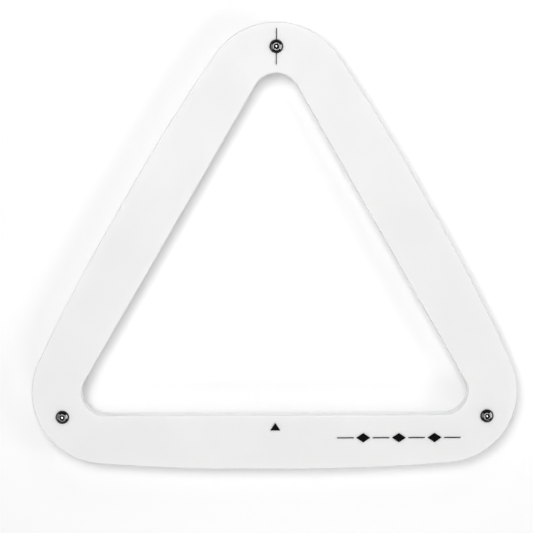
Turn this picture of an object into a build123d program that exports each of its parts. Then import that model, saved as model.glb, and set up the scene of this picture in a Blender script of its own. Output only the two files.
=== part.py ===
"""Triangle rack for fifteen pool balls.

A flat plate of translucent white polymer, cut as a rounded triangle with a triangular opening, stands on three
turned legs. The legs hold the plate at the height of the balls' centres, so the opening's walls meet the balls
where they are widest. One button-head screw at each corner holds a leg, and a felt glide under each leg lets the
rack slide on the cloth. Three black marks are let into the top: a sight line through the apex screw, a pointer at
the middle of the base side, and a strip of sight diamonds.

Frame: +Z up, the cloth at Z = 0, the apex towards +Y, and the origin under the middle of the plate's outline.
"""

from build123d import *
import os
from math import cos, radians, sin, sqrt

# The balls, which set the opening and the plate's height.
BALL_DIAMETER = 57.15
BALL_ROWS = 5
PLAY = 0.4

# The plate.
PLATE_THICKNESS = 12.0
RAIL_WIDTH = 43.3
STRAIGHT_HALF = 23.0
FLANK_RADIUS = 1350.0
CORNER_RADIUS = 56.5
OPENING_CORNER_RADIUS = 18.2
EDGE_ROUND = 1.0

# The screws: M6, button head, hexagon socket.
SCREW_CIRCLE_RADIUS = 191.5
THREAD_RADIUS = 3.0
THREAD_PITCH = 1.0
THREAD_DEPTH = 0.54
SCREW_LENGTH = 20.0
PLAIN_SHANK = 4.0
TIP_CHAMFER = 0.8
HEAD_RADIUS = 5.25
HEAD_HEIGHT = 3.3
HEAD_RIM = 0.6
CROWN_RADIUS = 2.9
SOCKET_FLATS = 4.0
SOCKET_DEPTH = 2.1
SOCKET_POINT = 0.7
SOCKET_MOUTH = 0.2
SCREW_HOLE_RADIUS = 3.3

# The legs and their glides.
LEG_RADIUS = 9.0
LEG_CHAMFER = 0.6
TAPPED_RADIUS = 3.05
TAPPED_DEPTH = 10.0
GLIDE_RADIUS = 7.0
GLIDE_THICKNESS = 3.0
GLIDE_SUNK = 1.5
GLIDE_CLEARANCE = 0.1
GLIDE_ROUND = 0.4

# The marks in the top, filled level with it.
MARK_DEPTH = 0.3
SIGHT_WIDTH = 0.6
SIGHT_LENGTH = 27.4
POINTER_WIDTH = 7.8
POINTER_HEIGHT = 6.2
POINTER_SETBACK = 6.0
DIAMOND_WIDTH = 11.0
DIAMOND_HEIGHT = 7.6
DIAMOND_COUNT = 3
RULE_LENGTH = 13.0
RULE_WIDTH = 0.8
STRIP_GAP = 2.0
STRIP_X = 97.0
STRIP_SETBACK = 18.3

# What follows from them.
OPENING_SIDE = (BALL_ROWS - 1 + sqrt(3)) * BALL_DIAMETER + PLAY
OPENING_INRADIUS = OPENING_SIDE / (2 * sqrt(3))
SIDE_REACH = OPENING_INRADIUS + RAIL_WIDTH
PLATE_BOTTOM = (BALL_DIAMETER - PLATE_THICKNESS) / 2
PLATE_TOP = PLATE_BOTTOM + PLATE_THICKNESS
CORNERS = {"apex": 90, "left": 210, "right": 330}
SIDE_TURNS = (0, 120, 240)


def polar(radius, degrees, centre=(0, 0)):
    """The point at this radius and angle about a centre, as X and Y."""
    x = centre[0] + radius * cos(radians(degrees))
    y = centre[1] + radius * sin(radians(degrees))
    return (x, y)


def corner_arc_reach():
    """How far from the triangle's centre a corner's arc has its own centre.

    The corner's arc lies inside the flank's arc and touches it, so the two centres are as far apart as their
    radii differ, and the corner's centre is on the line that halves the corner.
    """
    flank_x, flank_y = STRAIGHT_HALF, FLANK_RADIUS - SIDE_REACH
    along = flank_x * cos(radians(-30)) + flank_y * sin(radians(-30))
    gap = FLANK_RADIUS - CORNER_RADIUS
    return along + sqrt(along**2 - flank_x**2 - flank_y**2 + gap**2)


CORNER_ARC_REACH = corner_arc_reach()
CORNER_REACH = CORNER_ARC_REACH + CORNER_RADIUS
CENTRE_Y = (SIDE_REACH - CORNER_REACH) / 2


def plate_outline():
    """The plate's outer edge: three sides, each straight in the middle and bowed towards its corners."""
    flank_centre = Vector(STRAIGHT_HALF, FLANK_RADIUS - SIDE_REACH)
    corner_centre = Vector(*polar(CORNER_ARC_REACH, -30))
    outwards = (corner_centre - flank_centre).normalized()
    flank_end = flank_centre + outwards * FLANK_RADIUS
    flank_start = Vector(STRAIGHT_HALF, -SIDE_REACH)
    halfway = ((flank_start + flank_end) / 2 - flank_centre).normalized()
    flank_middle = flank_centre + halfway * FLANK_RADIUS
    straight = Line((-STRAIGHT_HALF, -SIDE_REACH), (STRAIGHT_HALF, -SIDE_REACH))
    flank = ThreePointArc(flank_start, flank_middle, flank_end)
    other_flank = mirror(flank, about=Plane.YZ)
    corner_start = flank_end
    corner_end = (Rot(0, 0, 120) * other_flank).edge() @ 1
    corner = ThreePointArc(corner_start, polar(CORNER_REACH, -30), corner_end)
    one_side = [other_flank.edge(), straight.edge(), flank.edge(), corner.edge()]
    return make_face([Rot(0, 0, turn) * edge for turn in SIDE_TURNS for edge in one_side])


def opening_outline():
    """The opening: an equilateral triangle with round corners."""
    triangle = RegularPolygon(2 * OPENING_INRADIUS, 3, rotation=90)
    return fillet(triangle.vertices(), OPENING_CORNER_RADIUS)


def sight_line():
    """The line through the apex screw's centre, along the rack's own middle line."""
    return Pos(0, SCREW_CIRCLE_RADIUS) * Rectangle(SIGHT_WIDTH, SIGHT_LENGTH)


def pointer():
    """The small triangle at the middle of the base side, which points into the opening."""
    tip_y = -OPENING_INRADIUS - POINTER_SETBACK
    base_y = tip_y - POINTER_HEIGHT
    half = POINTER_WIDTH / 2
    return make_face(Polyline((-half, base_y), (half, base_y), (0, tip_y), close=True))


def diamond_strip():
    """A row of diamonds, as on a table's rails, with short rules between them."""
    half_width, half_height = DIAMOND_WIDTH / 2, DIAMOND_HEIGHT / 2
    points = [(-half_width, 0), (0, -half_height), (half_width, 0), (0, half_height)]
    diamond = make_face(Polyline(*points, close=True))
    rule = Rectangle(RULE_LENGTH, RULE_WIDTH)
    step = DIAMOND_WIDTH + RULE_LENGTH + 2 * STRIP_GAP
    shapes = [Pos((i - (DIAMOND_COUNT - 1) / 2) * step, 0) * diamond for i in range(DIAMOND_COUNT)]
    shapes += [Pos((i - DIAMOND_COUNT / 2) * step, 0) * rule for i in range(DIAMOND_COUNT + 1)]
    return Pos(STRIP_X, -OPENING_INRADIUS - STRIP_SETBACK) * Sketch(children=shapes)


def screw_holes():
    """The three screw holes, through the plate."""
    hole = Cylinder(SCREW_HOLE_RADIUS, PLATE_THICKNESS, align=(Align.CENTER, Align.CENTER, Align.MIN))
    return [Pos(*polar(SCREW_CIRCLE_RADIUS, turn), PLATE_BOTTOM) * hole for turn in CORNERS.values()]


def filled_mark(outline):
    """The filling of one mark: its outline sunk into the top, clear of the screw holes."""
    filling = extrude(Pos(0, 0, PLATE_TOP - MARK_DEPTH) * outline, MARK_DEPTH)
    return filling - screw_holes()


def rack_plate(fillings):
    """The plate, with rounded edges, its screw holes and the recesses of its marks."""
    blank = extrude(plate_outline(), PLATE_THICKNESS) - extrude(opening_outline(), PLATE_THICKNESS)
    rims = blank.faces().sort_by(Axis.Z)
    plate = fillet(rims[0].edges() + rims[-1].edges(), EDGE_ROUND)
    return Pos(0, 0, PLATE_BOTTOM) * plate - screw_holes() - fillings


def screw_profile():
    """Half of the screw's section, from the tip up to the crown, with its head's seat at Z = 0."""
    root = THREAD_RADIUS - THREAD_DEPTH
    points = [(0, -SCREW_LENGTH), (THREAD_RADIUS - TIP_CHAMFER, -SCREW_LENGTH)]
    turns = int((SCREW_LENGTH - PLAIN_SHANK) / THREAD_PITCH)
    for turn in range(turns):
        groove = turn * THREAD_PITCH - SCREW_LENGTH + TIP_CHAMFER
        points += [(THREAD_RADIUS, groove), (root, groove + THREAD_PITCH / 2)]
    points += [(THREAD_RADIUS, turns * THREAD_PITCH - SCREW_LENGTH + TIP_CHAMFER)]
    points += [(THREAD_RADIUS, 0), (HEAD_RADIUS, 0), (HEAD_RADIUS, HEAD_RIM)]
    return points


def dome():
    """The head's round side, an arc about a point on the screw's axis."""
    drop = (HEAD_RADIUS**2 - CROWN_RADIUS**2 + HEAD_RIM**2 - HEAD_HEIGHT**2) / (2 * (HEAD_RIM - HEAD_HEIGHT))
    radius = sqrt(HEAD_RADIUS**2 + (HEAD_RIM - drop) ** 2)
    halfway = Vector((HEAD_RADIUS + CROWN_RADIUS) / 2, (HEAD_RIM + HEAD_HEIGHT) / 2 - drop).normalized()
    middle = halfway * radius + Vector(0, drop)
    return ThreePointArc((HEAD_RADIUS, HEAD_RIM), middle, (CROWN_RADIUS, HEAD_HEIGHT))


def screw():
    """One screw, with its head's seat at Z = 0. Its thread is a row of grooves, not a helix."""
    sides = Polyline(*screw_profile())
    crown = Polyline((CROWN_RADIUS, HEAD_HEIGHT), (0, HEAD_HEIGHT), (0, -SCREW_LENGTH))
    half_section = make_face(sides.edges() + dome().edges() + crown.edges())
    body = revolve(Plane.XZ * half_section, Axis.Z)
    corner_radius = SOCKET_FLATS / sqrt(3)
    hexagon = RegularPolygon(SOCKET_FLATS / 2, 6, major_radius=False)
    socket = extrude(Pos(0, 0, HEAD_HEIGHT - SOCKET_DEPTH) * hexagon, SOCKET_DEPTH)
    above = (Align.CENTER, Align.CENTER, Align.MIN)
    below = (Align.CENTER, Align.CENTER, Align.MAX)
    point = Cone(0, SOCKET_FLATS / 2, SOCKET_POINT, align=below)
    mouth = Cone(corner_radius - SOCKET_MOUTH, corner_radius + SOCKET_MOUTH, 2 * SOCKET_MOUTH, align=above)
    body -= socket
    body -= Pos(0, 0, HEAD_HEIGHT - SOCKET_DEPTH) * point
    return body - Pos(0, 0, HEAD_HEIGHT - SOCKET_MOUTH) * mouth


def leg():
    """One turned leg, tapped from the top and with a recess for its glide in the bottom."""
    up = (Align.CENTER, Align.CENTER, Align.MIN)
    down = (Align.CENTER, Align.CENTER, Align.MAX)
    foot = GLIDE_THICKNESS - GLIDE_SUNK
    body = Pos(0, 0, foot) * Cylinder(LEG_RADIUS, PLATE_BOTTOM - foot, align=up)
    body = chamfer(body.edges().filter_by(GeomType.CIRCLE), LEG_CHAMFER)
    body -= Pos(0, 0, PLATE_BOTTOM) * Cylinder(TAPPED_RADIUS, TAPPED_DEPTH, align=down)
    return body - Pos(0, 0, foot) * Cylinder(GLIDE_RADIUS + GLIDE_CLEARANCE, GLIDE_SUNK, align=up)


def glide():
    """One felt disc, glued into the leg's recess and standing below it."""
    disc = Cylinder(GLIDE_RADIUS, GLIDE_THICKNESS, align=(Align.CENTER, Align.CENTER, Align.MIN))
    lowest = disc.edges().filter_by(GeomType.CIRCLE).sort_by(Axis.Z)[0]
    return fillet(lowest, GLIDE_ROUND)


def write(name, shape):
    """Writes one node, moved from the triangle's centre to the part's own origin."""
    export_step(Pos(0, CENTRE_Y) * shape, f"parts/{name}.step")


os.makedirs("parts", exist_ok=True)
marks = {"sight_line": sight_line(), "base_pointer": pointer(), "diamond_strip": diamond_strip()}
fillings = {name: filled_mark(outline) for name, outline in marks.items()}
write("rack_plate", rack_plate(list(fillings.values())))
for name, filling in fillings.items():
    write(name, filling)
for corner, turn in CORNERS.items():
    place = polar(SCREW_CIRCLE_RADIUS, turn)
    write(f"{corner}_screw", Pos(*place, PLATE_TOP) * Rot(0, 0, turn) * screw())
    write(f"{corner}_leg", Pos(*place, 0) * leg())
    write(f"{corner}_glide", Pos(*place, 0) * glide())
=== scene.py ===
import bmesh
import bpy
import math
import random
from mathutils import Euler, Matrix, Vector, noise


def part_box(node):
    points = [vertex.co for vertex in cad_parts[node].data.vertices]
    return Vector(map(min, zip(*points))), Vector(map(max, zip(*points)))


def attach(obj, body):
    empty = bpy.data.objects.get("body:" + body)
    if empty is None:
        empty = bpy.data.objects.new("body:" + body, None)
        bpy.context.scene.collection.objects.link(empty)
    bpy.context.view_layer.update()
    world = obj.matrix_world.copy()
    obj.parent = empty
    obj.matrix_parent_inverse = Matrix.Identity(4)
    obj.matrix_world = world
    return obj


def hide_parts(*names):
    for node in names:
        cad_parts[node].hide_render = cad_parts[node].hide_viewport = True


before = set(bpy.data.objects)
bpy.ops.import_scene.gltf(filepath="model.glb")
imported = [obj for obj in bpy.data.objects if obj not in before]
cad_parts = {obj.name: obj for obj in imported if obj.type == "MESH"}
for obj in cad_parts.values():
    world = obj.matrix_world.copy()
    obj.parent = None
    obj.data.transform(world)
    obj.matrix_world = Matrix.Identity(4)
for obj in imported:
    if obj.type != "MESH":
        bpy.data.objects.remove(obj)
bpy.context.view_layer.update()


# --------------------------------------------------------------------------------------------------
# The plate. One flat sheet of milky white polymer, cut out with a router and rounded over along
# every edge. Light goes some way into it. Its cut walls are painted paler, as painted light, and
# its top roundings painted greyer, as painted shade.
# --------------------------------------------------------------------------------------------------

SHEET_WHITE = (0.858, 0.858, 0.856)
SHEET_SHADE = (0.828, 0.828, 0.826)
SHEET_WALL_PAINTED_LIGHT = (0.94, 0.94, 0.94)
SHEET_ROUNDING_PAINTED_SHADE = (0.75, 0.75, 0.75)
SHEET_ROUGHNESS = (0.42, 0.5)
SHEET_GRAIN_ROUGHNESS = 0.08
SHEET_GLOSS = 0.36
SHEET_GLOW_DEPTH = 0.004
SHEET_RELIEF = 0.00004
CLOUDS_PER_METRE = 22.0
GRAINS_PER_METRE = 1300.0
CUTTER_LINES_PER_METRE = 700.0
CUTTER_LINE_STRETCH = 0.02
CUTTER_LINE_DEPTH = 2.2
SHEET_SCRATCHES = 0.7
SCRATCH_POLISH = 0.16
SCRATCH_TURNS = (12, 71, 128)
SCRATCH_STRETCH = (60, 2600, 60)
SCRATCH_PATCHES_PER_METRE = 38.0


def start_material(name):
    """A new material with a Principled shader; returns the material, its tree of nodes and the shader."""
    material = bpy.data.materials.new(name)
    material.use_nodes = True
    tree = material.node_tree
    tree.nodes.clear()
    output = tree.nodes.new("ShaderNodeOutputMaterial")
    shader = tree.nodes.new("ShaderNodeBsdfPrincipled")
    tree.links.new(shader.outputs["BSDF"], output.inputs["Surface"])
    return material, tree, shader


def start_group(name, inputs, outputs):
    """A new group of shader nodes; each socket's name goes with its kind and default value."""
    tree = bpy.data.node_groups.new(name, "ShaderNodeTree")
    for direction, sockets in (("INPUT", inputs), ("OUTPUT", outputs)):
        for socket_name, (kind, value) in sockets.items():
            socket = tree.interface.new_socket(socket_name, in_out=direction, socket_type=kind)
            if value is not None:
                socket.default_value = value
    return tree, tree.nodes.new("NodeGroupInput"), tree.nodes.new("NodeGroupOutput")


def place_group(tree, group, **values):
    """The group as a node in a material's tree, with its own values."""
    node = tree.nodes.new("ShaderNodeGroup")
    node.node_tree = group
    for name, value in values.items():
        node.inputs[name.replace("_", " ")].default_value = value
    return node


def stretched_noise(tree, vector, scale, turn, per_metre, detail):
    """Noise that is squeezed by scale along each axis, after a turn about Z in degrees."""
    mapping = tree.nodes.new("ShaderNodeMapping")
    mapping.inputs["Rotation"].default_value = (0, 0, math.radians(turn))
    mapping.inputs["Scale"].default_value = scale
    texture = tree.nodes.new("ShaderNodeTexNoise")
    texture.inputs["Scale"].default_value = per_metre
    texture.inputs["Detail"].default_value = detail
    tree.links.new(vector, mapping.inputs["Vector"])
    tree.links.new(mapping.outputs["Vector"], texture.inputs["Vector"])
    return texture.outputs["Fac"]


def even_noise(tree, vector, per_metre, detail=3.0):
    """Noise that is the same in all directions, with about this many lumps to the metre."""
    return stretched_noise(tree, vector, (1, 1, 1), 0, per_metre, detail)


def remap(tree, value, low, high, to_low, to_high, steps="LINEAR"):
    """The value, stretched from one range to another and kept within it."""
    node = tree.nodes.new("ShaderNodeMapRange")
    node.interpolation_type = steps
    for name, number in (("From Min", low), ("From Max", high), ("To Min", to_low), ("To Max", to_high)):
        node.inputs[name].default_value = number
    tree.links.new(value, node.inputs["Value"])
    return node.outputs["Result"]


def combine(tree, operation, first, second):
    """One Math node; each side is a socket or a number."""
    node = tree.nodes.new("ShaderNodeMath")
    node.operation = operation
    for side, value in enumerate((first, second)):
        if isinstance(value, bpy.types.NodeSocket):
            tree.links.new(value, node.inputs[side])
        else:
            node.inputs[side].default_value = value
    return node.outputs[0]


def mix_colours(tree, share, first, second):
    """Two colours mixed by a share from 0 to 1; each is a socket or a value."""
    node = tree.nodes.new("ShaderNodeMix")
    node.data_type = "RGBA"
    for side, colour in (("A", first), ("B", second)):
        if isinstance(colour, bpy.types.NodeSocket):
            tree.links.new(colour, node.inputs[side])
        else:
            node.inputs[side].default_value = (*colour, 1)
    tree.links.new(share, node.inputs["Factor"])
    return node.outputs["Result"]


def raise_surface(tree, shader, height, depth):
    """Bumps the shader's normal by a height, where 1 stands for depth in metres."""
    bump = tree.nodes.new("ShaderNodeBump")
    bump.inputs["Distance"].default_value = depth
    tree.links.new(height, bump.inputs["Height"])
    tree.links.new(bump.outputs["Normal"], shader.inputs["Normal"])


def dress(material, *node_names):
    """Gives each CAD node this material in all its slots."""
    for name in node_names:
        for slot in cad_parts[name].material_slots:
            slot.material = material


def build_hairlines():
    """Fine scratches from handling: short straight strokes in three directions, in scattered patches."""
    tree, given, result = start_group(
        "hairlines",
        {"Vector": ("NodeSocketVector", None), "Amount": ("NodeSocketFloat", 0.5)},
        {"Stroke": ("NodeSocketFloat", None)},
    )
    strokes = None
    for turn in SCRATCH_TURNS:
        lines = stretched_noise(tree, given.outputs["Vector"], SCRATCH_STRETCH, turn, 1.0, 1.0)
        crest = remap(tree, lines, 0.66, 0.74, 0, 1)
        strokes = crest if strokes is None else combine(tree, "MAXIMUM", strokes, crest)
    patches = even_noise(tree, given.outputs["Vector"], SCRATCH_PATCHES_PER_METRE, 2.0)
    where = remap(tree, patches, 0.48, 0.66, 0, 1)
    stroke = combine(tree, "MULTIPLY", strokes, where)
    amount = combine(tree, "MULTIPLY", stroke, given.outputs["Amount"])
    tree.links.new(amount, result.inputs["Stroke"])
    return tree


def build_edge_wear():
    """Where an edge is, from how far the surface's normal turns within a given width of it."""
    tree, given, result = start_group(
        "edge wear",
        {"Width": ("NodeSocketFloat", 0.0004), "Amount": ("NodeSocketFloat", 1.0)},
        {"Edge": ("NodeSocketFloat", None)},
    )
    bevel = tree.nodes.new("ShaderNodeBevel")
    bevel.samples = 6
    surface = tree.nodes.new("ShaderNodeNewGeometry")
    dot = tree.nodes.new("ShaderNodeVectorMath")
    dot.operation = "DOT_PRODUCT"
    tree.links.new(given.outputs["Width"], bevel.inputs["Radius"])
    tree.links.new(bevel.outputs["Normal"], dot.inputs[0])
    tree.links.new(surface.outputs["Normal"], dot.inputs[1])
    edge = remap(tree, dot.outputs["Value"], 0.99, 0.86, 0, 1)
    tree.links.new(combine(tree, "MULTIPLY", edge, given.outputs["Amount"]), result.inputs["Edge"])
    return tree


hairlines = build_hairlines()
edge_wear = build_edge_wear()


def milky_polymer():
    """The sheet's satin material: cloudy, with painted shade on its top roundings, painted light on its
    cut walls, and marks of the cutter on its walls.
    """
    material, tree, shader = start_material("milky polymer")
    place = tree.nodes.new("ShaderNodeTexCoord").outputs["Object"]
    clouds = even_noise(tree, place, CLOUDS_PER_METRE)
    grain = even_noise(tree, place, GRAINS_PER_METRE)
    strokes = place_group(tree, hairlines, Amount=SHEET_SCRATCHES)
    tree.links.new(place, strokes.inputs["Vector"])
    surface = tree.nodes.new("ShaderNodeNewGeometry")
    facing = tree.nodes.new("ShaderNodeSeparateXYZ")
    tree.links.new(surface.outputs["Normal"], facing.inputs["Vector"])
    upwards = facing.outputs["Z"]
    level = combine(tree, "ABSOLUTE", upwards, 0)
    # Painted shade: the top roundings are mixed towards a greyer colour further down.
    turned = remap(tree, upwards, 0.99, 0.9, 0, 1, "SMOOTHSTEP")
    edge = combine(tree, "MULTIPLY", turned, remap(tree, upwards, 0.1, 0.4, 0, 1, "SMOOTHSTEP"))
    wall = remap(tree, level, 0.25, 0.05, 0, 1)
    cloud_tone = remap(tree, clouds, 0.35, 0.65, 0, 0.6)
    tone = combine(tree, "ADD", cloud_tone, remap(tree, grain, 0.3, 0.7, 0, 0.4))
    faces = mix_colours(tree, tone, SHEET_WHITE, SHEET_SHADE)
    # Painted light: the cut walls are mixed towards a paler colour.
    faces_with_painted_wall_light = mix_colours(tree, wall, faces, SHEET_WALL_PAINTED_LIGHT)
    tree.links.new(mix_colours(tree, edge, faces_with_painted_wall_light, SHEET_ROUNDING_PAINTED_SHADE), shader.inputs["Base Color"])
    cloud_roughness = remap(tree, clouds, 0.3, 0.7, *SHEET_ROUGHNESS)
    grain_roughness = remap(tree, grain, 0.3, 0.7, 0, SHEET_GRAIN_ROUGHNESS)
    rough = combine(tree, "ADD", cloud_roughness, grain_roughness)
    polish = combine(tree, "MULTIPLY", strokes.outputs["Stroke"], SCRATCH_POLISH)
    tree.links.new(combine(tree, "SUBTRACT", rough, polish), shader.inputs["Roughness"])
    stretch = (1, 1, CUTTER_LINE_STRETCH)
    cutter = stretched_noise(tree, place, stretch, 0, CUTTER_LINES_PER_METRE, 2.0)
    marks = combine(tree, "MULTIPLY", combine(tree, "MULTIPLY", cutter, wall), CUTTER_LINE_DEPTH)
    height = combine(tree, "ADD", combine(tree, "MULTIPLY", grain, 0.3), marks)
    cut = combine(tree, "SUBTRACT", height, combine(tree, "MULTIPLY", strokes.outputs["Stroke"], 0.5))
    raise_surface(tree, shader, cut, SHEET_RELIEF)
    shader.inputs["Subsurface Weight"].default_value = 1.0
    shader.inputs["Subsurface Radius"].default_value = (1.0, 1.0, 1.0)
    shader.inputs["Subsurface Scale"].default_value = SHEET_GLOW_DEPTH
    shader.inputs["Specular IOR Level"].default_value = SHEET_GLOSS
    return material


dress(milky_polymer(), "rack_plate")


# --------------------------------------------------------------------------------------------------
# The marks. A sight line, a pointer and a strip of diamonds are engraved into the top and filled
# with black paint, which is rubbed level. The paint dries matt, and a little greyer in patches.
# --------------------------------------------------------------------------------------------------

PAINT_BLACK = (0.0015, 0.0015, 0.0016)
PAINT_RUBBED = (0.005, 0.005, 0.005)
PAINT_PATCHES_PER_METRE = 700.0
PAINT_ROUGHNESS = (0.62, 0.8)
PAINT_RELIEF = 0.00001
PAINT_GLOSS = 0.06


def black_paint():
    """The filling's material: dull black, a little greyer where it was rubbed."""
    material, tree, shader = start_material("black paint")
    place = tree.nodes.new("ShaderNodeTexCoord").outputs["Object"]
    rubbed = even_noise(tree, place, PAINT_PATCHES_PER_METRE)
    greyed = remap(tree, rubbed, 0.4, 0.75, 0, 1)
    tree.links.new(mix_colours(tree, greyed, PAINT_BLACK, PAINT_RUBBED), shader.inputs["Base Color"])
    tree.links.new(remap(tree, rubbed, 0.3, 0.7, *PAINT_ROUGHNESS), shader.inputs["Roughness"])
    raise_surface(tree, shader, rubbed, PAINT_RELIEF)
    shader.inputs["Specular IOR Level"].default_value = PAINT_GLOSS
    return material


dress(black_paint(), "sight_line", "base_pointer", "diamond_strip")


# --------------------------------------------------------------------------------------------------
# The screws. Three M6 button heads with hexagon sockets, forged from steel, threaded by rolling,
# then blackened and polished. Each goes through the plate into a leg and clamps the two together.
# --------------------------------------------------------------------------------------------------

STEEL_BLACK = (0.023, 0.023, 0.023)
STEEL_BARE = (0.25, 0.25, 0.25)
STEEL_SOCKET_PAINTED_SHADE = (0.006, 0.006, 0.006)
STEEL_PIT_PAINTED_HIGHLIGHT = (0.12, 0.12, 0.12)
STEEL_ROUGHNESS = (0.11, 0.17)
STEEL_RELIEF = 0.000004
STEEL_SMUDGES_PER_METRE = 420.0
STEEL_SCRATCHES = 0.5
STEEL_WEAR_WIDTH = 0.00016
STEEL_WEAR = 0.8
SCREW_COLUMNS = 72
HEAD_RADIUS = 0.00525
HEAD_HEIGHT = 0.0033
HEAD_RIM = 0.0006
CROWN_RADIUS = 0.0029
CROWN_ROUND = 0.00022
RIM_ROUND = 0.00015
DOME_STEPS = 14
ROUND_STEPS = 4
SOCKET_FLATS = 0.004
SOCKET_DEPTH = 0.0021
SOCKET_POINT = 0.0006
SOCKET_PIT = 0.0009
SOCKET_FLOOR_EDGE = 0.82
SOCKET_PAINTED_SHADE_REACH = 0.56
MOUTH_SPARE = 0.00008
SHANK_RADIUS = 0.003
PLAIN_SHANK = 0.004
THREAD_PITCH = 0.001
THREAD_DEPTH = 0.00054
THREAD_RUNOUT = 0.001
THREAD_STEPS = ((0.0, 1), (0.25, 1), (0.5625, 0), (0.6875, 0))
TIP_CHAMFER = 0.0008
SAME_POINT = 0.0000005
SCREW_CREASE = 38


def soften_corner(before, corner, after, reach, steps):
    """Points that round a corner of a profile, from reach before it to reach after it."""
    corner = Vector(corner)
    start = corner + (Vector(before) - corner).normalized() * reach
    finish = corner + (Vector(after) - corner).normalized() * reach
    points = []
    for step in range(steps + 1):
        share = step / steps
        points.append((1 - share) ** 2 * start + 2 * share * (1 - share) * corner + share**2 * finish)
    return [(point.x, point.y) for point in points]


def dome_profile():
    """The head's round side from the crown down to the rim: an arc about a point on the screw's axis."""
    top, rim = Vector((CROWN_RADIUS, HEAD_HEIGHT)), Vector((HEAD_RADIUS, HEAD_RIM))
    centre = (rim.length_squared - top.length_squared) / (2 * (rim.y - top.y))
    radius = math.hypot(top.x, top.y - centre)
    first, last = math.atan2(top.x, top.y - centre), math.atan2(rim.x, rim.y - centre)
    angles = [first + (last - first) * step / DOME_STEPS for step in range(DOME_STEPS + 1)]
    return [(radius * math.sin(angle), centre + radius * math.cos(angle)) for angle in angles]


def hexagon_reach(angle):
    """How far the socket's wall is from the axis at this angle."""
    sixth = math.pi / 3
    return SOCKET_FLATS / 2 / math.cos((angle + sixth / 2) % sixth - sixth / 2)


def head_rings():
    """The head's rings, from socket floor to plain shank; each gives radius and height at an angle."""
    floor = HEAD_HEIGHT - SOCKET_DEPTH
    mouth = SOCKET_FLATS / math.sqrt(3) + MOUTH_SPARE
    dome = dome_profile()
    brim, seat = (HEAD_RADIUS, 0), (SHANK_RADIUS, 0)
    outside = [(mouth, HEAD_HEIGHT)]
    outside += soften_corner((mouth, HEAD_HEIGHT), dome[0], dome[1], CROWN_ROUND, ROUND_STEPS)
    outside += dome[2:-1]
    outside += soften_corner(dome[-2], dome[-1], brim, RIM_ROUND, ROUND_STEPS)
    outside += soften_corner((HEAD_RADIUS, HEAD_RIM), brim, seat, RIM_ROUND, ROUND_STEPS)
    outside += [seat, (SHANK_RADIUS, -PLAIN_SHANK)]
    rings = [lambda angle: (SOCKET_PIT, floor - SOCKET_POINT)]
    rings += [lambda angle: (SOCKET_FLOOR_EDGE * hexagon_reach(angle), floor - 0.1 * SOCKET_POINT)]
    rings += [lambda angle: (hexagon_reach(angle), floor + 0.1 * SOCKET_POINT)]
    rings += [lambda angle: (hexagon_reach(angle), HEAD_HEIGHT - mouth + hexagon_reach(angle))]
    return rings + [lambda angle, point=point: point for point in outside]


def thread_radius(height, groove):
    """The thread's radius: full or grooved, fading out below the plain shank and chamfered at the tip."""
    fade = min(1, max(0, (-PLAIN_SHANK - height) / THREAD_RUNOUT))
    chamfer = SHANK_RADIUS - TIP_CHAMFER + (height - SCREW_TIP)
    return min(SHANK_RADIUS - THREAD_DEPTH * groove * fade, chamfer)


def add_ring(shape, ring):
    """A ring of points about the screw's axis."""
    points = []
    for column in range(SCREW_COLUMNS):
        angle = 2 * math.pi * column / SCREW_COLUMNS
        radius, height = ring(angle)
        points.append(shape.verts.new((radius * math.cos(angle), radius * math.sin(angle), height)))
    return points


def join_rings(shape, first, second):
    """A band of faces between two rings of points."""
    for column, point in enumerate(first):
        after = (column + 1) % len(first)
        shape.faces.new((point, first[after], second[after], second[column]))


def add_thread(shape):
    """The rolled thread: a band that climbs one pitch each turn, cut off level at both ends."""
    turns = math.ceil((-PLAIN_SHANK - SCREW_TIP) / THREAD_PITCH) + 1
    rows = []
    for turn in range(-1, turns):
        for share, groove in THREAD_STEPS:
            row = []
            for column in range(SCREW_COLUMNS + 1):
                climb = turn + share + column / SCREW_COLUMNS
                height = min(-PLAIN_SHANK, max(SCREW_TIP, SCREW_TIP + climb * THREAD_PITCH))
                angle = 2 * math.pi * column / SCREW_COLUMNS
                radius = thread_radius(height, groove)
                row.append(shape.verts.new((radius * math.cos(angle), radius * math.sin(angle), height)))
            rows.append(row)
    for lower, upper in zip(rows, rows[1:]):
        for column in range(SCREW_COLUMNS):
            shape.faces.new((lower[column], lower[column + 1], upper[column + 1], upper[column]))


def finish_mesh(shape, name, crease):
    """Turns the shape into a smooth mesh, sharp only where its faces turn more than crease degrees."""
    bmesh.ops.remove_doubles(shape, verts=shape.verts, dist=SAME_POINT)
    bmesh.ops.dissolve_degenerate(shape, edges=shape.edges, dist=SAME_POINT)
    bmesh.ops.recalc_face_normals(shape, faces=shape.faces)
    mesh = bpy.data.meshes.new(name)
    shape.to_mesh(mesh)
    shape.free()
    mesh.shade_smooth()
    mesh.set_sharp_from_angle(angle=math.radians(crease))
    return mesh


def place_piece(name, mesh, place, turn, node):
    """A new piece that stands for a CAD node, put at a place and turned about Z in degrees."""
    piece = bpy.data.objects.new(name, mesh)
    piece.location = place
    piece.rotation_euler = (0, 0, math.radians(turn))
    bpy.context.scene.collection.objects.link(piece)
    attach(piece, "root")
    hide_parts(node)
    return piece


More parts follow.
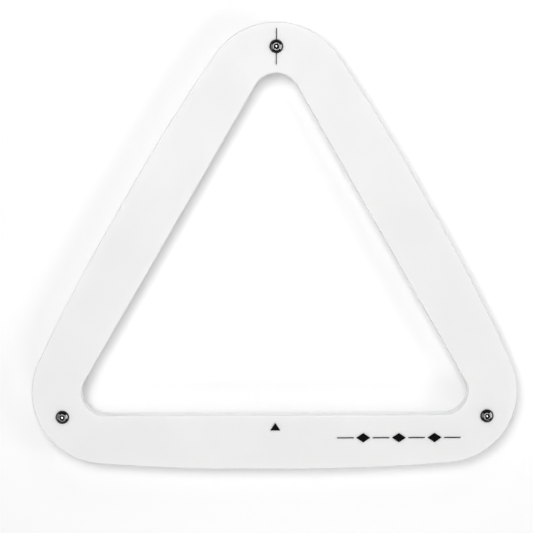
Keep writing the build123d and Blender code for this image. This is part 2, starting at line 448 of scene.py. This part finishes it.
def blackened_steel():
    """The screws' material: dark polished metal, barer on its edges, with painted shade in its socket and
    a painted highlight at the socket's pit.
    """
    material, tree, shader = start_material("blackened steel")
    place = tree.nodes.new("ShaderNodeTexCoord").outputs["Object"]
    worn = place_group(tree, edge_wear, Width=STEEL_WEAR_WIDTH, Amount=STEEL_WEAR)
    scuffs = place_group(tree, hairlines, Amount=STEEL_SCRATCHES)
    tree.links.new(place, scuffs.inputs["Vector"])
    smudges = even_noise(tree, place, STEEL_SMUDGES_PER_METRE)
    flat = tree.nodes.new("ShaderNodeVectorMath")
    flat.operation = "MULTIPLY"
    flat.inputs[1].default_value = (1, 1, 0)
    tree.links.new(place, flat.inputs[0])
    reach = tree.nodes.new("ShaderNodeVectorMath")
    reach.operation = "LENGTH"
    tree.links.new(flat.outputs["Vector"], reach.inputs[0])
    away = reach.outputs["Value"]
    # Painted shade: inside the socket the steel is painted near black, fading out just past its mouth.
    outside = remap(tree, away, SOCKET_FLATS / 2, SOCKET_FLATS * SOCKET_PAINTED_SHADE_REACH, 0, 1)
    # Painted highlight: the pit at the socket's centre is painted bright.
    pressed = remap(tree, away, SOCKET_PIT * 1.1, SOCKET_PIT * 0.9, 0, 1)
    bare = combine(tree, "MAXIMUM", worn.outputs["Edge"], scuffs.outputs["Stroke"])
    polished = mix_colours(tree, bare, STEEL_BLACK, STEEL_BARE)
    socket_painted_shade_and_highlight = mix_colours(tree, pressed, STEEL_SOCKET_PAINTED_SHADE, STEEL_PIT_PAINTED_HIGHLIGHT)
    tree.links.new(mix_colours(tree, outside, socket_painted_shade_and_highlight, polished), shader.inputs["Base Color"])
    tree.links.new(remap(tree, smudges, 0.3, 0.7, *STEEL_ROUGHNESS), shader.inputs["Roughness"])
    raise_surface(tree, shader, smudges, STEEL_RELIEF)
    shader.inputs["Metallic"].default_value = 1.0
    return material


def screw_mesh():
    """One screw, with its head's seat at the height of its own origin."""
    shape = bmesh.new()
    rings = [add_ring(shape, ring) for ring in head_rings()]
    shape.faces.new(rings[0])
    for first, second in zip(rings, rings[1:]):
        join_rings(shape, first, second)
    add_thread(shape)
    tip = add_ring(shape, lambda angle: (thread_radius(SCREW_TIP, 0), SCREW_TIP))
    shape.faces.new(tip)
    return finish_mesh(shape, "screw", SCREW_CREASE)


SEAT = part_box("rack_plate")[1].z
SCREW_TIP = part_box("apex_screw")[0].z - SEAT
button_head_screw = screw_mesh()
button_head_screw.materials.append(blackened_steel())
polished_pieces = []
for corner, turn in (("apex", 90), ("left", 210), ("right", 330)):
    node = f"{corner}_screw"
    low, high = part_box(node)
    place = ((low.x + high.x) / 2, (low.y + high.y) / 2, SEAT)
    piece = place_piece(f"{corner}_button_head", button_head_screw, place, turn, node)
    polished_pieces.append(piece)


# --------------------------------------------------------------------------------------------------
# The legs. Three posts of aluminium bar, turned, chamfered and clear anodised, each tapped from
# the top for its screw and recessed underneath for its glide.
# --------------------------------------------------------------------------------------------------

LEG_BRIGHT = (0.82, 0.83, 0.84)
LEG_DULL = (0.7, 0.71, 0.73)
LEG_ROUGHNESS = (0.26, 0.36)
LEG_GROOVE_ROUGHNESS = 0.08
LEG_RELIEF = 0.000009
LEG_GROOVE_STRETCH = (20, 20, 7200)
LEG_SMUDGES_PER_METRE = 160.0
LEG_WEAR_WIDTH = 0.0004
LEG_WEAR = 0.8


def turned_aluminium():
    """The legs' material: fine grooves left by the turning tool, and edges rubbed bright."""
    material, tree, shader = start_material("turned aluminium")
    place = tree.nodes.new("ShaderNodeTexCoord").outputs["Object"]
    grooves = stretched_noise(tree, place, LEG_GROOVE_STRETCH, 0, 1.0, 1.0)
    smudges = even_noise(tree, place, LEG_SMUDGES_PER_METRE)
    worn = place_group(tree, edge_wear, Width=LEG_WEAR_WIDTH, Amount=LEG_WEAR)
    dull = combine(tree, "SUBTRACT", remap(tree, smudges, 0.35, 0.7, 0, 1), worn.outputs["Edge"])
    tree.links.new(mix_colours(tree, dull, LEG_BRIGHT, LEG_DULL), shader.inputs["Base Color"])
    smudge_roughness = remap(tree, smudges, 0.3, 0.7, *LEG_ROUGHNESS)
    groove_roughness = remap(tree, grooves, 0.3, 0.7, 0, LEG_GROOVE_ROUGHNESS)
    rough = combine(tree, "ADD", smudge_roughness, groove_roughness)
    tree.links.new(rough, shader.inputs["Roughness"])
    raise_surface(tree, shader, grooves, LEG_RELIEF)
    shader.inputs["Metallic"].default_value = 1.0
    return material


dress(turned_aluminium(), "apex_leg", "left_leg", "right_leg")


# --------------------------------------------------------------------------------------------------
# The glides. Three discs punched from thick pressed felt and glued into the legs' recesses, so
# that the rack slides on the cloth without marking it. Their cut sides are lumpy and fuzzy.
# --------------------------------------------------------------------------------------------------

FELT_DARK = (0.05, 0.05, 0.053)
FELT_LIGHT = (0.17, 0.17, 0.175)
FELT_ROUGHNESS = (0.85, 1.0)
FELT_RELIEF = 0.0001
FELT_SHEEN = 0.4
FELT_FIBRES_PER_METRE = 2400.0
FELT_PATCHES_PER_METRE = 300.0
FELT_COLUMNS = 120
FELT_ROUND = 0.0006
FELT_RING_STEP = 0.00035
FELT_LUMP = 0.00016
FELT_LUMPS_PER_METRE = 900.0
FELT_DIPS_PER_METRE = 540.0
FIBRE_COUNT = 240
FIBRE_STEPS = 5
FIBRE_SIDES = 3
FIBRE_LENGTH = 0.0009
FIBRE_THICKNESS = 0.000025
FIBRE_CURL = 0.00035
FIBRE_SUNK = 0.15
FIBRE_TAPER = 0.8
FELT_CREASE = 60


def pressed_felt():
    """The glides' material: tangled grey wool with a dusty sheen."""
    material, tree, shader = start_material("pressed felt")
    place = tree.nodes.new("ShaderNodeTexCoord").outputs["Object"]
    fibres = even_noise(tree, place, FELT_FIBRES_PER_METRE, 4.0)
    patches = even_noise(tree, place, FELT_PATCHES_PER_METRE, 2.0)
    fine, coarse = combine(tree, "MULTIPLY", fibres, 0.7), combine(tree, "MULTIPLY", patches, 0.3)
    tangle = remap(tree, combine(tree, "ADD", fine, coarse), 0.35, 0.65, 0, 1)
    tree.links.new(mix_colours(tree, tangle, FELT_DARK, FELT_LIGHT), shader.inputs["Base Color"])
    tree.links.new(remap(tree, fibres, 0.3, 0.7, *FELT_ROUGHNESS), shader.inputs["Roughness"])
    raise_surface(tree, shader, fibres, FELT_RELIEF)
    shader.inputs["Sheen Weight"].default_value = FELT_SHEEN
    return material


def felt_profile(radius, thickness):
    """The disc's section, from the middle of its sole out and up its side to its top."""
    inner = [FELT_RING_STEP * step for step in range(1, int((radius - FELT_ROUND) / FELT_RING_STEP) + 1)]
    sole = [(reach, 0.0) for reach in inner]
    edge = []
    for step in range(ROUND_STEPS + 1):
        angle = math.pi / 2 * step / ROUND_STEPS
        edge.append((radius - FELT_ROUND * (1 - math.sin(angle)), FELT_ROUND * (1 - math.cos(angle))))
    rises = int((thickness - FELT_ROUND) / FELT_RING_STEP)
    side = [(radius, FELT_ROUND + FELT_RING_STEP * step) for step in range(1, rises)]
    return sole + edge + side + [(radius, thickness)]


def add_fibre(shape, start, outwards, drift):
    """One loose fibre: a thin curved tube that leaves the disc's side and tapers to a point."""
    across = outwards.cross(drift).normalized()
    rings = []
    for step in range(FIBRE_STEPS + 1):
        share = step / FIBRE_STEPS
        reach = FIBRE_LENGTH * (share - FIBRE_SUNK)
        centre = start + outwards * reach + drift * (FIBRE_CURL * share**2)
        ring = []
        for side in range(FIBRE_SIDES):
            angle = 2 * math.pi * side / FIBRE_SIDES
            spoke = across * math.cos(angle) + outwards.cross(across) * math.sin(angle)
            thickness = FIBRE_THICKNESS * (1 - FIBRE_TAPER * share)
            ring.append(shape.verts.new(centre + spoke * thickness))
        rings.append(ring)
    for first, second in zip(rings, rings[1:]):
        join_rings(shape, first, second)
    shape.faces.new(rings[0])
    shape.faces.new(rings[-1])


def felt_mesh(name, radius, thickness, seed):
    """One disc of felt: lumpy, with a fuzz of loose fibres round its side, and nowhere below its sole."""
    shape = bmesh.new()
    rings = []
    for reach, height in felt_profile(radius, thickness):
        ring = []
        for column in range(FELT_COLUMNS):
            angle = 2 * math.pi * column / FELT_COLUMNS
            outwards = Vector((math.cos(angle), math.sin(angle), 0))
            point = outwards * reach + Vector((0, 0, height))
            lump = noise.noise(point * FELT_LUMPS_PER_METRE + Vector((seed, 0, 0)))
            dip = noise.noise(point * FELT_DIPS_PER_METRE + Vector((0, seed, 0)))
            side = min(1, height / FELT_ROUND)
            point += outwards * (FELT_LUMP * side * (lump - 1) * 0.6)
            point.z += FELT_LUMP * (1 - side) * abs(dip)
            ring.append(shape.verts.new(point))
        rings.append(ring)
    shape.faces.new(rings[0])
    for first, second in zip(rings, rings[1:]):
        join_rings(shape, first, second)
    shape.faces.new(rings[-1])
    draw = random.Random(seed)
    for _ in range(FIBRE_COUNT):
        angle = draw.uniform(0, 2 * math.pi)
        height = draw.uniform(FELT_ROUND, thickness / 2 - FIBRE_CURL)
        outwards = Vector((math.cos(angle), math.sin(angle), 0))
        along = Vector((-math.sin(angle), math.cos(angle), 0))
        drift = along * draw.uniform(-1, 1) + Vector((0, 0, draw.uniform(-0.9, 0.5)))
        add_fibre(shape, outwards * (radius - FELT_LUMP) + Vector((0, 0, height)), outwards, drift)
    return finish_mesh(shape, name, FELT_CREASE)


felt = pressed_felt()
for seed, corner in enumerate(("apex", "left", "right"), 1):
    low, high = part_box(f"{corner}_glide")
    middle = (low + high) / 2
    disc = felt_mesh(f"{corner} felt", (high.x - low.x) / 2, high.z - low.z, seed)
    disc.materials.append(felt)
    place_piece(f"{corner}_felt_disc", disc, (middle.x, middle.y, low.z), 0, f"{corner}_glide")


# --------------------------------------------------------------------------------------------------
# The studio. A pale floor, four soft lamps above it, three panels that glint in the screws alone,
# and a camera that looks almost straight down.
# --------------------------------------------------------------------------------------------------

FLOOR_SIZE = 24.0
FLOOR_WHITE = (0.98, 0.98, 0.98)
FLOOR_SHADE = (0.965, 0.965, 0.965)
FLOOR_GLOW = (0.012, 0.012, 0.012)
FLOOR_GLOW_FAR = (0.8, 0.8, 0.8)
FLOOR_NEAR = 0.6
FLOOR_FAR = 3.0
FLOOR_ROUGHNESS = 0.9
FLOOR_MOTTLES_PER_METRE = 6.0
WORLD_WHITE = (1.0, 1.0, 1.0)
WORLD_STRENGTH = 0.262
BACKDROP_STRENGTH = 0.95
LENS = 125.9
SENSOR = 36.0
CAMERA_DISTANCE = 1.4395
LEAN_TO_APEX = 7.833
LEAN_TO_LEFT = 1.518
ROLL = 0.131
AIM_X = -0.0071
AIM_Y = -0.0135
LAMPS = (
    ("key lamp", (-0.24, 0.46, 1.93), (0, 0, 0), 0.6, 0.6, 22.8),
    ("front lamp", (0.2, -1.1, 1.4), (0, 0, 0), 0.5, 0.5, 3.6),
    ("right lamp", (1.0, -0.1, 1.2), (0.1, 0, 0), 0.5, 0.5, 2.9),
    ("back lamp", (0.2, 1.1, 1.0), (0, 0, 0), 0.6, 0.4, 1.4),
)
GLINT_PANELS = (
    ("right sheen", (0.9, 0.0, 0.36), (0, 0, 0.03), 1.0, 0.7, 56.0),
    ("left sheen", (-0.9, 0.0, 0.36), (0, 0, 0.03), 1.2, 1.0, 26.0),
    ("top sheen", (0.06, -0.2, 1.9), (0, 0, 0), 1.0, 1.0, 78.0),
)


def pale_floor():
    """The floor: a round sheet, wide enough to fill every view, which glows a little far off."""
    mesh = bpy.data.meshes.new("floor")
    shape = bmesh.new()
    bmesh.ops.create_circle(shape, cap_ends=True, radius=FLOOR_SIZE / 2, segments=96)
    shape.to_mesh(mesh)
    shape.free()
    floor = bpy.data.objects.new("floor", mesh)
    bpy.context.scene.collection.objects.link(floor)
    material, tree, shader = start_material("pale floor")
    place = tree.nodes.new("ShaderNodeTexCoord").outputs["Object"]
    mottle = even_noise(tree, place, FLOOR_MOTTLES_PER_METRE)
    colour = mix_colours(tree, mottle, FLOOR_WHITE, FLOOR_SHADE)
    tree.links.new(colour, shader.inputs["Base Color"])
    shader.inputs["Roughness"].default_value = FLOOR_ROUGHNESS
    shader.inputs["Specular IOR Level"].default_value = 0.0
    reach = tree.nodes.new("ShaderNodeVectorMath")
    reach.operation = "LENGTH"
    tree.links.new(place, reach.inputs[0])
    far = remap(tree, reach.outputs["Value"], FLOOR_NEAR, FLOOR_FAR, 0, 1, "SMOOTHSTEP")
    glow = mix_colours(tree, far, FLOOR_GLOW, FLOOR_GLOW_FAR)
    tree.links.new(glow, shader.inputs["Emission Color"])
    shader.inputs["Emission Strength"].default_value = 1.0
    mesh.materials.append(material)
    return floor


def soft_lamp(name, place, aim, width, depth, power):
    """A rectangular soft lamp that the camera doesn't see, pointed at a place."""
    lamp = bpy.data.lights.new(name, "AREA")
    lamp.shape = "RECTANGLE"
    lamp.size = width
    lamp.size_y = depth
    lamp.energy = power
    holder = bpy.data.objects.new(name, lamp)
    holder.location = place
    holder.rotation_mode = "QUATERNION"
    holder.rotation_quaternion = (Vector(aim) - Vector(place)).to_track_quat("-Z", "Y")
    holder.visible_camera = False
    bpy.context.scene.collection.objects.link(holder)
    return holder


def studio_camera():
    """The camera, over the plate and leaning a little towards the apex."""
    data = bpy.data.cameras.new("camera")
    data.lens = LENS
    data.sensor_width = SENSOR
    camera = bpy.data.objects.new("camera", data)
    turn = Euler([math.radians(angle) for angle in (-LEAN_TO_APEX, -LEAN_TO_LEFT, ROLL)], "XYZ")
    aim = Vector((AIM_X, AIM_Y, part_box("rack_plate")[1].z))
    camera.rotation_euler = turn
    camera.location = aim + turn.to_matrix() @ Vector((0, 0, CAMERA_DISTANCE))
    bpy.context.scene.collection.objects.link(camera)
    bpy.context.scene.camera = camera


def pale_world():
    """Even light from all round, behind a backdrop that is paler than the light it gives."""
    world = bpy.data.worlds.new("studio")
    world.use_nodes = True
    tree = world.node_tree
    light = tree.nodes["Background"]
    light.inputs["Color"].default_value = (*WORLD_WHITE, 1)
    light.inputs["Strength"].default_value = WORLD_STRENGTH
    backdrop = tree.nodes.new("ShaderNodeBackground")
    backdrop.inputs["Color"].default_value = (*WORLD_WHITE, 1)
    backdrop.inputs["Strength"].default_value = BACKDROP_STRENGTH
    seen = tree.nodes.new("ShaderNodeLightPath")
    choice = tree.nodes.new("ShaderNodeMixShader")
    tree.links.new(seen.outputs["Is Camera Ray"], choice.inputs["Fac"])
    tree.links.new(light.outputs["Background"], choice.inputs[1])
    tree.links.new(backdrop.outputs["Background"], choice.inputs[2])
    tree.links.new(choice.outputs["Shader"], tree.nodes["World Output"].inputs["Surface"])
    bpy.context.scene.world = world


pale_floor()
for lamp in LAMPS:
    soft_lamp(*lamp)
polished = bpy.data.collections.new("polished pieces")
for piece in polished_pieces:
    polished.objects.link(piece)
for panel in GLINT_PANELS:
    soft_lamp(*panel).light_linking.receiver_collection = polished
pale_world()
bpy.context.scene.view_settings.view_transform = "Standard"
studio_camera()
